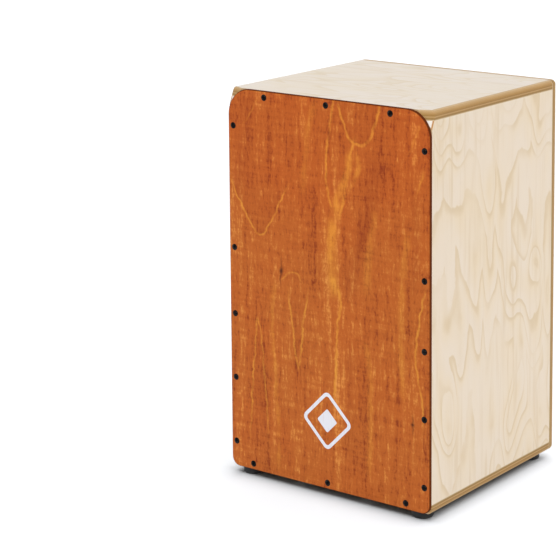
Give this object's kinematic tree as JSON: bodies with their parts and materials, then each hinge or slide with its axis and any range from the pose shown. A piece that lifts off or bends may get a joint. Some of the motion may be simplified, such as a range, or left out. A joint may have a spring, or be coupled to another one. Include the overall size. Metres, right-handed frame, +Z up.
{
  "type": "cajon",
  "caption": "Box drum with a thin front playing plate, flat seat, round rear sound hole, rubber feet and snare strings tuned by socket screws under the base.",
  "frame": {"origin": "floor level under the middle of the object's bounding box", "axes": "+Z up, the playing plate faces -Y, +X to the right of someone looking at the plate"},
  "size_m": [0.3, 0.283, 0.489],
  "materials": {
    "birch_ply": "satin clear lacquer, layered edges",
    "stained_veneer": "satin lacquer over orange-brown stain",
    "softwood": "sanded, unfinished",
    "hardwood": "sanded, unfinished",
    "black_steel": "black oxide",
    "bracket_steel": "zinc plated",
    "screw_steel": "plain",
    "string_steel": "bright wire",
    "carrier_brass": "machined",
    "black_rubber": "matte"
  },
  "bodies": {
    "cabinet": {"anchor_plate_left": "bracket_steel", "anchor_plate_right": "bracket_steel", "back_panel": "birch_ply", "base_left_block": "softwood", "base_panel": "birch_ply", "base_right_block": "softwood", "bracket_screws": "bracket_steel", "foot_front_left": "black_rubber", "foot_front_right": "black_rubber", "foot_rear_left": "black_rubber", "foot_rear_right": "black_rubber", "foot_screws": "black_steel", "guide_left": "bracket_steel", "guide_right": "bracket_steel", "left_side_panel": "birch_ply", "plate_screws": "black_steel", "playing_plate": "stained_veneer", "right_side_panel": "birch_ply", "string_left": "string_steel", "string_rail": "hardwood", "string_right": "string_steel", "top_left_block": "softwood", "top_panel": "birch_ply", "top_right_block": "softwood", "tuning_block": "hardwood", "tuning_washers": "bracket_steel"},
    "carrier_left": {"carrier_left": "carrier_brass"},
    "carrier_right": {"carrier_right": "carrier_brass"},
    "tuning_screw_left": {"tuning_screw_left": "screw_steel"},
    "tuning_screw_right": {"tuning_screw_right": "screw_steel"}
  },
  "joints": [
    {"name": "tuning_screw_left_turn", "type": "hinge", "parent": "cabinet", "child": "tuning_screw_left", "pos_m": [-0.05, -0.1235, 0.0095], "axis": [0, 0, 1], "range_deg": [-1080, 1080]},
    {"name": "carrier_left_slide", "type": "slide", "parent": "cabinet", "child": "carrier_left", "axis": [0, 0, 1], "range_m": [-0.003, 0.003], "deforming": ["string_left"]},
    {"name": "tuning_screw_right_turn", "type": "hinge", "parent": "cabinet", "child": "tuning_screw_right", "pos_m": [0.05, -0.1235, 0.0095], "axis": [0, 0, 1], "range_deg": [-1080, 1080]},
    {"name": "carrier_right_slide", "type": "slide", "parent": "cabinet", "child": "carrier_right", "axis": [0, 0, 1], "range_m": [-0.003, 0.003], "deforming": ["string_right"]}
  ],
  "couplings": [
    {"joint": "tuning_screw_left_turn", "follows": "carrier_left_slide", "rad_per_m": -6283.2},
    {"joint": "tuning_screw_right_turn", "follows": "carrier_right_slide", "rad_per_m": -6283.2}
  ]
}
